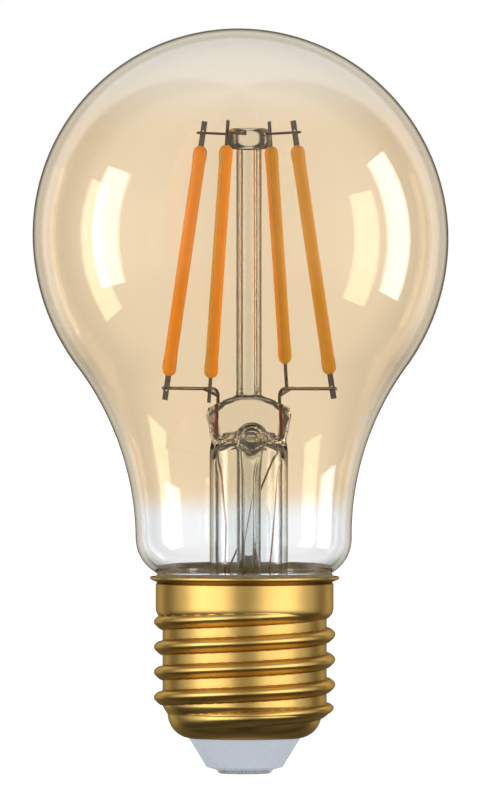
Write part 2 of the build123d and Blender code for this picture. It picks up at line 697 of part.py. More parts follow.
top_wires = {
    side: STEM * Rotation(0, 0, azimuth) * top_wire() for side, azimuth in FILAMENT_AZIMUTHS.items()
}
seals = {"left": seal_wire(-1), "right": seal_wire(1)}
leads = {"left": lead_wire("left", -1), "right": lead_wire("right", 1)}
arms = {"left": cross_arm("front", -1), "right": cross_arm("back", 1)}
outer_leads = {
    "left": outer_lead(-1, "left", LEFT_LEAD_ROUTE),
    "right": outer_lead(1, "right", RIGHT_LEAD_ROUTE),
}
exhaust = exhaust_tube()
post = support_post()
neutral = neutral_wire()
live = live_wire()
exhaust_block = STEM * upright(EXHAUST_DIAMETER / 2, EXHAUST_TIP_Z, EXHAUST_TOP_Z)
post_block = STEM * upright(POST_DIAMETER / 2, POST_START_Z, BUTTON_START_Z)
stem = stem_flare() - exhaust_block - post_block
stem -= [*seals.values(), *leads.values(), *outer_leads.values()]

save("glass_envelope", glass_envelope())
save("stem_flare", stem)
save("exhaust_tube", exhaust)
save("support_post", post)
save("post_button", post_button() - list(top_wires.values()))
for side in FILAMENT_AZIMUTHS:
    place = on_cage(side)
    length = coating_length(side)
    chips = led_chips(length)
    save(f"{side}_filament_strip", place * filament_strip(length))
    save(f"{side}_filament_chips", place * chips)
    save(f"{side}_amber_coating", place * (coating(length) - chips))
    save(f"{side}_gold_coating", place * Rotation(0, 0, 180) * coating(length))
    save(f"{side}_end_tabs", place * end_tabs(length))
    save(f"{side}_top_wire", top_wires[side])
for side in seals:
    save(f"{side}_lead_wire", leads[side])
    save(f"{side}_cross_arm", arms[side] - leads[side])
    save(f"{side}_seal_wire", seals[side])
    save(f"{side}_outer_lead", outer_leads[side])
save("screw_shell", screw_shell())
save("insulator", insulator())
save("centre_contact", centre_contact())
save("contact_solder", contact_solder() - live)
save("basing_cement", basing_cement() - neutral)
save("live_wire", live)
save("neutral_wire", neutral)
save("antenna_wire", antenna_wire())
save("driver_board", driver_board())
save("electrolytic_capacitor", electrolytic_capacitor())
save("inductor_core", inductor_core())
save("inductor_winding", inductor_winding())
save("film_capacitor", film_capacitor())
save("fusible_resistor", fusible_resistor())
save("radio_board", radio_board())
save("radio_shield", radio_shield())
save("bridge_rectifier", bridge_rectifier())
save("driver_chip", driver_chip())
save("small_chips", small_chips())
save("insulating_sleeve", insulating_sleeve())
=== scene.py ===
import json
from math import atan2, cos, degrees, exp, hypot, pi, radians, sin, sqrt

import bmesh
import bpy
from mathutils import Matrix, Vector, noise


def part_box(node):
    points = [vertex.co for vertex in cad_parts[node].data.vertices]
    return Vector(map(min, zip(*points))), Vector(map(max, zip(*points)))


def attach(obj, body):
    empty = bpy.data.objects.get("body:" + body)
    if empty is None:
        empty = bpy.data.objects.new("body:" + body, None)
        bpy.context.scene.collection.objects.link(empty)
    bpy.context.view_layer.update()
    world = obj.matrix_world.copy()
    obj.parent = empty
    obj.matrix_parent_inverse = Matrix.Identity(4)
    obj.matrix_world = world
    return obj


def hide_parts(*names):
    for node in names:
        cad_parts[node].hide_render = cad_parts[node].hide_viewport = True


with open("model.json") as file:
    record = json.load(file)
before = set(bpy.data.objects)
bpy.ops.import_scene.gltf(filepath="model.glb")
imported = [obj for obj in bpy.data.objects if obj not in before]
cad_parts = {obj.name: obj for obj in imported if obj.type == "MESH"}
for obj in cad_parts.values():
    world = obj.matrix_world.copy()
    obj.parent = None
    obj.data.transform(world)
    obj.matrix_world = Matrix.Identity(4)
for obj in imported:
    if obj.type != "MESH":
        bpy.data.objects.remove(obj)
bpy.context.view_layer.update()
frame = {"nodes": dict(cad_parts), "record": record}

MM = 0.001

# ---- places that the frame gives, in millimetres


def node_box(name):
    """A CAD node's lowest and highest corner."""
    low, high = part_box(name)
    return [c / MM for c in low], [c / MM for c in high]


GLASS_LOW, GLASS_HIGH = node_box("glass_envelope")
POST_LOW, POST_HIGH = node_box("support_post")
BUTTON_LOW, BUTTON_HIGH = node_box("post_button")
EXHAUST_LOW, EXHAUST_HIGH = node_box("exhaust_tube")
LAMP_HEIGHT = GLASS_HIGH[2]
NECK_END_Z = GLASS_LOW[2]
STEM_X = (POST_LOW[0] + POST_HIGH[0]) / 2

# ---- driving dimensions in millimetres and degrees, the CAD model's wherever the shape is the same

# Glass bulb
BULB_RADIUS = 30.0
GLASS_WALL = 0.8
BELLY_RADIUS = 31.5
WAIST_CENTRE = (57.0, 34.0)
SHOULDER_RADIUS = 5.8
SHOULDER_SWEEP = 60.0
NECK_RADIUS = 10.9
GLASS_LEAN = 0.6
BULB_CENTRE_Z = LAMP_HEIGHT - BULB_RADIUS

# Flare tube
FLARE_RADIUS = 5.65
FLARE_WALL = 0.9
FLARE_BEND = 7.0
FLARE_FOOT = 9.3
FLARE_RIM = 0.8
STEM_AROUND = 192
TUBE_STEPS = 12

# Pinch: half widths and half depths are (height, size) stations
PINCH_START_Z = 46.5
PINCH_TOP_Z = 54.9
PINCH_WIDTHS = (
    (46.5, 5.65), (48.2, 5.45), (49.8, 5.75), (51.9, 6.15),
    (52.9, 5.9), (53.5, 4.9), (53.9, 3.9), (54.9, 1.9),
)
PINCH_DEPTHS = ((47.6, 5.65), (49.5, 2.2), (53.9, 2.0), (54.9, 1.5))
PINCH_ARCH = 0.075
PINCH_STEPS = 64
PRESSED_SPAN = (47.0, 49.5)
SQUARE_SPAN = (53.0, 53.9)
ROUND_POWER = 2.0
PRESSED_POWER = 0.7
SQUARE_POWER = 3.0
HOLLOW_RISE = 3.2
HOLLOW_WIDTHS = ((46.5, 4.75), (48.2, 4.6), (49.3, 3.6), (49.7, 1.0))
HOLLOW_DEPTHS = ((47.5, 4.75), (49.2, 1.1), (49.7, 0.3))
HOLLOW_STEPS = 24

# The vent's raised ring; its place and spread are shares of the vent's radius
VENT = (1.05, 48.6)
VENT_RADIUS = 2.1
VENT_RING_HEIGHT = 0.9
VENT_RING_PLACE = 0.78
VENT_RING_SPREAD = 0.2

# Post, exhaust tube and button
POST_RADIUS = 1.85
POST_BORE_RADIUS = 1.05
POST_BURIED = 2.1
TUBE_EDGE = 0.08
EXHAUST_RADIUS = 1.75
EXHAUST_BORE_RADIUS = 0.9
EXHAUST_END_WALL = 0.8
EXHAUST_SHORTER = 1.2
BUTTON_ROUND = 1.1
GLASS_AROUND = 64

# Screw cap
CAP_WALL = 0.3
LIP = (13.65, 28.4)
LIP_SPREAD = (27.6, 28.15)
LIP_EDGE_RISE = 0.06
LIP_EDGE_INSET = 0.1
GROOVE_Z = 27.6
GROOVE_DEPTH = 0.2
GROOVE_HALF_HEIGHT = 0.16
COLLAR_RADIUS = 12.84
COLLAR_END_Z = 23.1
COLLAR_TUCK_RISE = 1.2
COLLAR_TUCK_POWER = 3.2
ROOT_RADIUS = 11.85
ROOT_TOP_Z = 22.3
ROOT_END_Z = 10.0
BOWL_CENTRE = (7.5, 8.7)
BOWL_RADIUS = 3.62
BOWL_SWEEP = 81.3
BOWL_BLEND = 0.4
SHELL_STEP = 0.08
SHELL_AROUND = 256

# Thread: a convex upper flank and a straighter lower one
THREAD_CREST = 1.25
THREAD_PITCH = 3.629
THREAD_START_Z = 7.94
THREAD_START_ANGLE = -120.0
THREAD_END_Z = 22.76
THREAD_TURNS = range(-1, 6)
THREAD_FADE_IN = (-40, 50)
THREAD_FADE_OUT = (-20, 120)
CREST_ABOVE = 1.05
CREST_BELOW = 1.2
UPPER_POWER = 2.0
LOWER_POWER = 1.3
CREST_BLUNTNESS = 0.012
FLANK_FOOT = 0.84

# Cement bead
CEMENT_FOOT_Z = 26.0
CEMENT_LIFT_START_Z = 28.0
CEMENT_LIFT_SPAN = 1.5
CEMENT_AROUND = 384

# Filaments
FILAMENT_AZIMUTHS = {"left": 155.0, "front": 245.0, "back": 65.0, "right": -25.0}
COATING_FEET_Z = {"left": 57.6, "front": 57.4, "back": 59.0, "right": 57.9}
COATING_END_Z = 90.6
COATING_END_RADIUS = 7.6
LEVEL_Z = 57.8
LEVEL_RADIUS = 12.85
TIP_ROUND = 0.85
END_SWELL = 0.09
END_SWELL_PLACE = 1.4
END_SWELL_SPREAD = 0.9
BAR_HALF_SIZE = (0.94, 0.92)
CARRIER_HALF_SIZE = (0.955, 0.11)
COATING_SWEEP = 176.0
BAR_STEPS = 24
END_STEPS = 8
END_STEP = 0.3

# ---- light levels; walls and ring are by degrees from the backdrop, +Y, heights by elevation
WALL_LEVELS = (
    (0, 1.0), (45, 1.0), (52, 0.1), (70, 0.1), (82, 0.6),
    (112, 0.75), (135, 0.5), (158, 0.3), (165, 0.15), (180, 0.15),
)
HEIGHT_LEVELS = ((-90, 0.1), (-26, 0.15), (-12, 0.9), (25, 1.0), (50, 0.7), (90, 0.6))
RING_LEVELS = ((0, 1.0), (2, 1.0), (5, 0.08), (13, 0.12), (18, 0.66), (32, 0.70), (37, 1.0), (180, 1.0))
SOFT_LEVEL = 1.1
THROUGH_DARK = 0.08
THROUGH_WHITE_SPAN = (16, 24)
THROUGH_SIDE_SPAN = (75, 100)

# ---- mesh helpers


def arc(centre, radius, start, sweep, step=3.0):
    """Points along an arc, angles in degrees."""
    count = max(2, round(abs(sweep) / step))
    angles = [radians(start + sweep * n / count) for n in range(count + 1)]
    return [(centre[0] + radius * cos(a), centre[1] + radius * sin(a)) for a in angles]


def smooth_step(low, high, value):
    """From 0 at low to 1 at high, level at both; high may be under low."""
    share = min(1.0, max(0.0, (value - low) / (high - low)))
    return share * share * (3 - 2 * share)


def station(table, z):
    """A value read smoothly between the two nearest of the (height, value) stations."""
    for (low, start), (high, end) in zip(table, table[1:]):
        if z <= high:
            return start + (end - start) * smooth_step(low, high, z)
    return table[-1][1]


def solid(name, points, faces, slot, node_name, sharp):
    """A closed mesh piece from points in millimetres, riding on the lamp's one body."""
    mesh = bpy.data.meshes.new(name)
    mesh.from_pydata([Vector(p) * MM for p in points], [], faces)
    bm = bmesh.new()
    bm.from_mesh(mesh)
    bmesh.ops.remove_doubles(bm, verts=bm.verts, dist=1e-7)
    bmesh.ops.recalc_face_normals(bm, faces=bm.faces)
    bm.to_mesh(mesh)
    bm.free()
    mesh.shade_smooth()
    mesh.set_sharp_from_angle(angle=radians(sharp))
    piece = bpy.data.objects.new(name, mesh)
    bpy.context.scene.collection.objects.link(piece)
    piece.data.materials.append(MATERIALS[slot])
    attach(piece, "root")
    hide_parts(node_name)
    return piece


def grid_faces(rows, columns, close_rows=False):
    """Quads of a grid that closes around its columns, and over its rows if asked."""
    last = rows if close_rows else rows - 1
    return [
        (
            r * columns + c, r * columns + (c + 1) % columns,
            (r + 1) % rows * columns + (c + 1) % columns, (r + 1) % rows * columns + c,
        )
        for r in range(last) for c in range(columns)
    ]


def turned(outline, centre_x=0.0, around=GLASS_AROUND):
    """Points and faces of a closed (radius, height) outline turned about an upright axis."""
    angles = [2 * pi * n / around for n in range(around)]
    points = [(centre_x + radius * cos(a), radius * sin(a), z) for radius, z in outline for a in angles]
    return points, grid_faces(len(outline), around, True)


def turned_from_axis(outline, centre_x):
    """As turned, for an outline that starts and ends on the axis, where it needs no faces."""
    points, faces = turned(outline, centre_x)
    return points, faces[:-GLASS_AROUND]


# ---- node helpers

MATERIALS = {}


def new_material(name):
    """The tree and the Principled shader of a new material, which is kept by its name."""
    material = bpy.data.materials.new(name)
    material.use_nodes = True
    MATERIALS[name] = material
    return material.node_tree, material.node_tree.nodes["Principled BSDF"]


def link(tree, source, target):
    tree.links.new(source, target)


def node(tree, kind, **settings):
    """A new node, with inputs or properties set by name."""
    made = tree.nodes.new(kind)
    for key, value in settings.items():
        if key in made.inputs:
            made.inputs[key].default_value = value
        else:
            setattr(made, key, value)
    return made


def object_coords(tree, scale=(1, 1, 1)):
    """Object coordinates, which are the lamp's own frame in metres."""
    coords = node(tree, "ShaderNodeTexCoord")
    mapping = node(tree, "ShaderNodeMapping", Scale=scale)
    link(tree, coords.outputs["Object"], mapping.inputs["Vector"])
    return mapping.outputs["Vector"]


def calculated(tree, operation, *values):
    """A maths node's result; each value is a socket or a number."""
    made = node(tree, "ShaderNodeMath", operation=operation)
    for socket, value in zip(made.inputs, values):
        if hasattr(value, "links"):
            link(tree, value, socket)
        else:
            socket.default_value = value
    return made.outputs[0]


def height_mm(tree):
    """The height above the end contact, in millimetres."""
    coords = node(tree, "ShaderNodeTexCoord")
    split = node(tree, "ShaderNodeSeparateXYZ")
    link(tree, coords.outputs["Object"], split.inputs[0])
    return calculated(tree, "MULTIPLY", split.outputs["Z"], 1 / MM)


def ramp(tree, source, stops):
    """A colour ramp; stops are (position, colour)."""
    made = node(tree, "ShaderNodeValToRGB")
    elements = made.color_ramp.elements
    while len(elements) < len(stops):
        elements.new(0.5)
    for element, (position, colour) in zip(elements, stops):
        element.position = position
        element.color = (*colour, 1)
    link(tree, source, made.inputs["Fac"])
    return made.outputs["Color"]


def fine_noise(tree, vector, scale, detail=3.0, roughness=0.5):
    made = node(tree, "ShaderNodeTexNoise", Scale=scale, Detail=detail, Roughness=roughness)
    link(tree, vector, made.inputs["Vector"])
    return made.outputs["Fac"]


def bump(tree, shader, height, strength, distance):
    made = node(tree, "ShaderNodeBump", Strength=strength, Distance=distance)
    link(tree, height, made.inputs["Height"])
    link(tree, made.outputs["Normal"], shader.inputs["Normal"])


def map_range(tree, source, low, high, to_low, to_high, smooth=False):
    """A value moved from one range to another and kept within it."""
    made = node(tree, "ShaderNodeMapRange")
    if smooth:
        made.interpolation_type = "SMOOTHSTEP"
    for socket, value in zip(("From Min", "From Max", "To Min", "To Max"), (low, high, to_low, to_high)):
        made.inputs[socket].default_value = value
    link(tree, source, made.inputs["Value"])
    return made.outputs["Result"]


def mixed(tree, factor, first, second, blend="MIX"):
    """A mix of two colours, each a socket or a colour."""
    made = node(tree, "ShaderNodeMix", data_type="RGBA", blend_type=blend)
    factor_socket, first_socket, second_socket = made.inputs[0], made.inputs[6], made.inputs[7]
    for socket, value in ((first_socket, first), (second_socket, second)):
        if hasattr(value, "links"):
            link(tree, value, socket)
        else:
            socket.default_value = (*value, 1)
    if hasattr(factor, "links"):
        link(tree, factor, factor_socket)
    else:
        factor_socket.default_value = factor
    return made.outputs[2]


# ---- glass materials


def pass_lamps(tree, shader, tint):
    """Let lamps' light through glass in straight lines, slightly tinted."""
    path = node(tree, "ShaderNodeLightPath")
    clear = node(tree, "ShaderNodeBsdfTransparent")
    clear.inputs["Color"].default_value = (*tint, 1)
    mix = node(tree, "ShaderNodeMixShader")
    link(tree, path.outputs["Is Shadow Ray"], mix.inputs["Fac"])
    link(tree, shader.outputs[0], mix.inputs[1])
    link(tree, clear.outputs[0], mix.inputs[2])
    link(tree, mix.outputs[0], tree.nodes["Material Output"].inputs["Surface"])


def glass_shader(shader, ior):
    shader.inputs["Transmission Weight"].default_value = 1.0
    shader.inputs["IOR"].default_value = ior
    shader.inputs["Roughness"].default_value = 0.0


def grazing(tree, start, full):
    """0 where the surface faces the eye, up to 1 where it is seen edge-on."""
    edge = node(tree, "ShaderNodeLayerWeight", Blend=0.5)
    return map_range(tree, edge.outputs["Facing"], start, full, 0.0, 1.0, smooth=True)


def amber_glass():
    """Clear glass with an amber coating, paler at the crown, that fades out above the cap."""
    coat_span, crown_span = (36.5, 41.5), (91.0, 104.0)
    tree, shader = new_material("amber_glass")
    glass_shader(shader, 1.5)
    height = height_mm(tree)
    coat = map_range(tree, height, *coat_span, 0.0, 1.0, smooth=True)
    cloud = fine_noise(tree, object_coords(tree, (1, 1, 0.5)), 45.0)
    amber = mixed(tree, cloud, (0.955, 0.84, 0.675), (0.965, 0.855, 0.695))
    crown = map_range(tree, height, *crown_span, 0.0, 1.0, smooth=True)
    amber = mixed(tree, crown, amber, (0.983, 0.94, 0.865))
    tint = mixed(tree, coat, (0.985, 0.99, 0.998), amber)
    # Edge-on the tint deepens: partly the longer path through the coating, partly painted shade for the
    # glass's dark outline.
    rim = mixed(tree, grazing(tree, 0.68, 1.0), (1, 1, 1), (0.93, 0.85, 0.70))
    link(tree, mixed(tree, 1.0, tint, rim, "MULTIPLY"), shader.inputs["Base Color"])
    pass_lamps(tree, shader, (0.95, 0.9, 0.82))


def stem_glass():
    """Uncoated glass, with painted shade that darkens it where it is seen edge-on."""
    tree, shader = new_material("stem_glass")
    glass_shader(shader, 1.52)
    cloud = fine_noise(tree, object_coords(tree), 300.0)
    clear = mixed(tree, cloud, (0.95, 0.97, 0.97), (0.98, 0.99, 0.985))
    # Painted shade: edge-on, the base colour goes dark brown-grey for the glass's dark outline.
    colour = mixed(tree, grazing(tree, 0.4, 0.9), clear, (0.25, 0.23, 0.19))
    link(tree, colour, shader.inputs["Base Color"])
    pass_lamps(tree, shader, (0.97, 0.98, 0.98))


# ---- other materials


def gold_cap():
    """Satin gold plating with a fine sandy grain, under a thin lacquer; its crevices are darkened with
    painted shade.
    """
    tree, shader = new_material("gold_cap")
    shader.inputs["Metallic"].default_value = 1.0
    shader.inputs["Specular Tint"].default_value = (0.32, 0.28, 0.2, 1)
    shader.inputs["Coat Weight"].default_value = 0.3
    shader.inputs["Coat Roughness"].default_value = 0.35
    place = object_coords(tree)
    grain = fine_noise(tree, place, 9000.0, 4.0, 0.7)
    patches = fine_noise(tree, place, 180.0)
    colour = ramp(tree, patches, [(0.3, (0.88, 0.56, 0.15)), (0.7, (0.92, 0.60, 0.18))])
    dust = map_range(tree, grain, 0.3, 0.5, 0.72, 1.0)
    colour = mixed(tree, dust, (0.5, 0.28, 0.06), colour)
    # Painted shade: where the ambient occlusion finds concave corners, the base colour goes dark brown.
    crevice_shade = node(tree, "ShaderNodeAmbientOcclusion", samples=8, Distance=1.6 * MM)
    unshaded = map_range(tree, crevice_shade.outputs["AO"], 0.35, 0.85, 0.0, 1.0)
    link(tree, mixed(tree, unshaded, (0.26, 0.15, 0.04), colour), shader.inputs["Base Color"])
    link(tree, map_range(tree, grain, 0.3, 0.7, 0.26, 0.42), shader.inputs["Roughness"])
    bump(tree, shader, grain, 0.35, 0.02 * MM)


def phosphor(name, low, high):
    """Silicone filled with phosphor: waxy, with faint cloudiness."""
    tree, shader = new_material(name)
    place = object_coords(tree)
    cloud = fine_noise(tree, place, 700.0, 4.0)
    link(tree, mixed(tree, cloud, low, high), shader.inputs["Base Color"])
    shader.inputs["Subsurface Weight"].default_value = 0.25
    shader.inputs["Subsurface Radius"].default_value = (0.6 * MM, 0.3 * MM, 0.1 * MM)
    shader.inputs["Subsurface Scale"].default_value = 1.0
    link(tree, map_range(tree, cloud, 0.3, 0.7, 0.38, 0.5), shader.inputs["Roughness"])
    bump(tree, shader, fine_noise(tree, place, 2500.0), 0.25, 0.04 * MM)


def plain(name, low, high, roughness=0.5, metallic=0.0, scale=400.0, grain=0.1, depth=0.02, detail=3.0):
    """A colour that wanders between two values, with a fine grain whose depth is in millimetres."""
    tree, shader = new_material(name)
    shader.inputs["Metallic"].default_value = metallic
    place = object_coords(tree)
    wander = fine_noise(tree, place, scale, detail)
    link(tree, mixed(tree, wander, low, high), shader.inputs["Base Color"])
    fine = fine_noise(tree, place, scale * 6, detail)
    uneven = map_range(tree, fine, 0.3, 0.7, roughness - 0.06, roughness + 0.06)
    link(tree, uneven, shader.inputs["Roughness"])
    bump(tree, shader, fine, grain, depth * MM)


def metals():
    """Wires, tabs, contact, solder and the radio's can."""
    plain("tab_steel", (0.10, 0.10, 0.10), (0.26, 0.25, 0.23), 0.38, 0.9, scale=900.0, grain=0.3)
    plain("nickel_wire", (0.09, 0.07, 0.05), (0.24, 0.19, 0.15), 0.36, 0.9, scale=900.0, grain=0.3)
    plain("dumet_wire", (0.12, 0.03, 0.02), (0.24, 0.07, 0.04), 0.4, 0.5, scale=900.0)
    plain("copper_wire", (0.22, 0.10, 0.05), (0.36, 0.18, 0.1), 0.4, 0.8, scale=900.0)
    plain("tinned_wire", (0.6, 0.58, 0.55), (0.75, 0.73, 0.7), 0.35, 0.9, scale=900.0)
    plain("contact_metal", (0.74, 0.75, 0.78), (0.85, 0.85, 0.86), 0.3, 0.7, scale=600.0)
    plain("solder", (0.6, 0.6, 0.62), (0.75, 0.75, 0.76), 0.3, 0.9, scale=600.0)
    plain("shield_can", (0.5, 0.5, 0.5), (0.62, 0.62, 0.62), 0.3, 1.0)


def cement():
    """Tan and crumbly, with a grain deep enough to see."""
    dark, light = (0.16, 0.12, 0.06), (0.42, 0.34, 0.21)
    plain("cement", dark, light, 0.85, scale=1200.0, grain=0.9, depth=0.2, detail=8.0)


def ceramics_and_plastics():
    """Insulator, carriers and the driver's parts."""
    plain("cap_insulator", (0.44, 0.48, 0.55), (0.50, 0.54, 0.61), 0.3, scale=500.0, grain=0.12)
    plain("ceramic_strip", (0.40, 0.37, 0.33), (0.52, 0.49, 0.45))
    plain("led_die", (0.30, 0.36, 0.5), (0.4, 0.46, 0.6), 0.2)
    plain("circuit_board", (0.02, 0.13, 0.05), (0.03, 0.18, 0.07), 0.35, scale=500.0)
    plain("capacitor_sleeve", (0.02, 0.02, 0.025), (0.04, 0.04, 0.05), 0.35)
    plain("ferrite", (0.03, 0.03, 0.032), (0.06, 0.06, 0.062), 0.6, scale=900.0, grain=0.4)
    plain("capacitor_box", (0.6, 0.4, 0.04), (0.7, 0.48, 0.06), 0.4)
    plain("resistor_body", (0.06, 0.22, 0.18), (0.08, 0.28, 0.22))
    plain("chip_package", (0.012, 0.012, 0.013), (0.03, 0.03, 0.032), 0.55, scale=900.0, grain=0.3)
    plain("sleeve_plastic", (0.7, 0.7, 0.66), (0.8, 0.8, 0.76))


def all_materials():
    """One material for each material slot of the record."""
    amber_glass()
    stem_glass()
    gold_cap()
    phosphor("amber_phosphor", (0.70, 0.235, 0.004), (0.80, 0.30, 0.008))
    phosphor("gold_phosphor", (0.52, 0.25, 0.010), (0.62, 0.31, 0.018))
    metals()
    cement()
    ceramics_and_plastics()


# ---- glass bulb


def bulb_side(inset):
    """The bulb's side from the crown down to the neck's end, moved inwards by inset."""
    belly_x = BULB_RADIUS - BELLY_RADIUS
    waist_x, waist_z = WAIST_CENTRE
    fall = degrees(atan2(BULB_CENTRE_Z - waist_z, waist_x - belly_x))
    waist_radius = hypot(waist_x - belly_x, BULB_CENTRE_Z - waist_z) - BELLY_RADIUS
    shoulder_x = waist_x - waist_radius - SHOULDER_RADIUS
    lean = radians(SHOULDER_SWEEP)
    neck_bend = (shoulder_x + SHOULDER_RADIUS * cos(lean) - NECK_RADIUS) / (1 - cos(lean))
    reach = SHOULDER_RADIUS + neck_bend
    neck_centre = (shoulder_x + reach * cos(lean), waist_z - reach * sin(lean))
    crown = arc((0, BULB_CENTRE_Z), BULB_RADIUS - inset, 90, -90, 1.5)
    belly = arc((belly_x, BULB_CENTRE_Z), BELLY_RADIUS - inset, 0, -fall, 1.5)
    waist = arc(WAIST_CENTRE, waist_radius + inset, 180 - fall, fall, 1.2)
    shoulder = arc((shoulder_x, waist_z), SHOULDER_RADIUS - inset, 0, -SHOULDER_SWEEP, 4)
    bend = arc(neck_centre, neck_bend + inset, 180 - SHOULDER_SWEEP, SHOULDER_SWEEP, 6)
    foot = [(NECK_RADIUS - inset, NECK_END_Z)]
    return crown + belly[1:] + waist[1:] + shoulder[1:] + bend[1:] + foot


def leaning(point):
    """A point of the bulb moved sideways by the lean; the seal stays where it is."""
    x, y, z = point
    return (x - (z - NECK_END_Z) * sin(radians(GLASS_LEAN)), y, z)


def glass_bulb():
    outline = bulb_side(0) + bulb_side(GLASS_WALL)[::-1]
    points, faces = turned(outline, around=256)
    return solid("glass_bulb", [leaning(p) for p in points], faces, "amber_glass", "glass_envelope", 60)


# ---- stem: the flare tube, with the pinch at its top


def circle(radius, z, centre_x=STEM_X):
    """A level ring of points, about the stem's axis unless told otherwise."""
    angles = [2 * pi * n / STEM_AROUND for n in range(STEM_AROUND)]
    return [(centre_x + radius * cos(a), radius * sin(a), z) for a in angles]


def oval(z, half_width, half_depth, power=ROUND_POWER):
    """A level superellipse about the stem's axis."""
    points = []
    for n in range(STEM_AROUND):
        angle = 2 * pi * n / STEM_AROUND
        across, along = cos(angle), sin(angle)
        x = half_width * abs(across) ** (2 / power) * (1 if across >= 0 else -1)
        y = half_depth * abs(along) ** (2 / power) * (1 if along >= 0 else -1)
        points.append((STEM_X + x, y, z))
    return points


def vent_ring(x, z):
    """How far the blown vent's ring stands out of the pinch's front."""
    away = hypot(x - VENT[0], z - VENT[1]) / VENT_RADIUS
    return VENT_RING_HEIGHT * exp(-(((away - VENT_RING_PLACE) / VENT_RING_SPREAD) ** 2))


def pinch_row(z):
    """One level outline of the pinch: pressed in above an arch, with the vent's ring in front."""
    depth = station(PINCH_DEPTHS, z)
    power = ROUND_POWER + PRESSED_POWER * smooth_step(*PRESSED_SPAN, z)
    power += SQUARE_POWER * smooth_step(*SQUARE_SPAN, z)
    row = []
    for x, y, height in oval(z, station(PINCH_WIDTHS, z), depth, power):
        arched = station(PINCH_DEPTHS, z + PINCH_ARCH * (x - STEM_X) ** 2)
        y *= arched / depth
        row.append((x, y - vent_ring(x, height) if y < 0 else y, height))
    return row


def hollow_row(step):
    """One level outline of the hollow under the pinch, closer together near its top."""
    z = PINCH_START_Z + HOLLOW_RISE * sin(step / HOLLOW_STEPS * pi / 2)
    width = station(HOLLOW_WIDTHS, z)
    return oval(z, width, min(width, station(HOLLOW_DEPTHS, z)))


def stem_sides():
    """The rows of the stem's outside and of its inside, each from the rim upwards."""
    bend_x = FLARE_RADIUS + FLARE_BEND
    bend_z = NECK_END_Z + sqrt(FLARE_BEND**2 - (bend_x - FLARE_FOOT) ** 2)
    inner_bend = FLARE_BEND + FLARE_WALL
    rim_z = NECK_END_Z - FLARE_RIM
    rim_x = bend_x - sqrt(inner_bend**2 - (bend_z - rim_z) ** 2)
    outer_angle = degrees(atan2(bend_z - NECK_END_Z, bend_x - FLARE_FOOT))
    inner_angle = degrees(atan2(bend_z - rim_z, bend_x - rim_x))
    tube_heights = [bend_z + (PINCH_START_Z - bend_z) * n / TUBE_STEPS for n in range(1, TUBE_STEPS)]
    pinch_rise = PINCH_TOP_Z - PINCH_START_Z

    outside = [circle(rim_x, rim_z), circle(NECK_RADIUS, rim_z, 0), circle(NECK_RADIUS, NECK_END_Z, 0)]
    outside += [circle(*at) for at in arc((bend_x, bend_z), FLARE_BEND, 180 + outer_angle, -outer_angle, 5)]
    outside += [circle(FLARE_RADIUS, z) for z in tube_heights]
    outside += [pinch_row(PINCH_START_Z + pinch_rise * n / PINCH_STEPS) for n in range(1, PINCH_STEPS + 1)]

    inside = [circle(*at) for at in arc((bend_x, bend_z), inner_bend, 180 + inner_angle, -inner_angle, 5)]
    inside += [circle(FLARE_RADIUS - FLARE_WALL, z) for z in tube_heights]
    inside += [hollow_row(n) for n in range(1, HOLLOW_STEPS + 1)]
    return outside, inside


def closed_top(rows, first, rise):
    """The rows' points and a point in the middle of the last row, with their faces."""
    points = [p for row in rows for p in row]
    middle = first + len(points)
    points.append((STEM_X, 0, rows[-1][0][2] + rise))
    faces = [tuple(first + corner for corner in face) for face in grid_faces(len(rows), STEM_AROUND)]
    last_row = middle - STEM_AROUND
    faces += [(last_row + n, last_row + (n + 1) % STEM_AROUND, middle) for n in range(STEM_AROUND)]
    return points, faces


def stem_piece():
    """The flare with its pinch: the outside, the hollow inside it, and the rim between them."""
    outside, inside = stem_sides()
    points, faces = closed_top(outside, 0, 0.02)
    start = len(points)
    inner_points, inner_faces = closed_top(inside, start, 0.0)
    rim = [
        (n, (n + 1) % STEM_AROUND, start + (n + 1) % STEM_AROUND, start + n) for n in range(STEM_AROUND)
    ]
    return solid("stem", points + inner_points, faces + inner_faces + rim, "stem_glass", "stem_flare", 50)


# ---- glass pieces on the stem's axis


def post_tube():
    """The support post, with slightly eased edges."""
    low, high = POST_LOW[2] + POST_BURIED, POST_HIGH[2]
    outer, bore, edge = POST_RADIUS, POST_BORE_RADIUS, TUBE_EDGE
    outline = [
        (bore, low + edge), (bore + edge, low), (outer - edge, low), (outer, low + edge),
        (outer, high - edge), (outer - edge, high), (bore + edge, high), (bore, high - edge),
    ]
    points, faces = turned(outline, STEM_X)
    return solid("post_tube", points, faces, "stem_glass", "support_post", 30)


def pumping_tube():
    """The exhaust tube with its tipped-off end."""
    outer, bore = EXHAUST_RADIUS, EXHAUST_BORE_RADIUS
    low, high = EXHAUST_LOW[2], EXHAUST_HIGH[2] - EXHAUST_SHORTER
    inner_end = low + EXHAUST_END_WALL
    outline = [(0.0, low)] + arc((0, low + outer), outer, -80, 80, 10)
    outline += [(outer, high), (bore, high), (bore, low + outer), (0.5, inner_end + 0.1), (0.0, inner_end)]
    points, faces = turned_from_axis(outline, STEM_X)
    return solid("pumping_tube", points, faces, "stem_glass", "exhaust_tube", 60)


def glass_button():
    """The rounded button that holds the upper wires."""
    low, high = BUTTON_LOW[2], BUTTON_HIGH[2]
    side_x = (BUTTON_HIGH[0] - BUTTON_LOW[0]) / 2 - BUTTON_ROUND
    outline = [(0.0, low)] + arc((side_x, low + BUTTON_ROUND), BUTTON_ROUND, -90, 90, 10)
    outline += arc((side_x, high - BUTTON_ROUND), BUTTON_ROUND, 0, 90, 10) + [(0.0, high)]
    points, faces = turned_from_axis(outline, STEM_X)
    return solid("glass_button", points, faces, "stem_glass", "post_button", 60)


# ---- screw cap


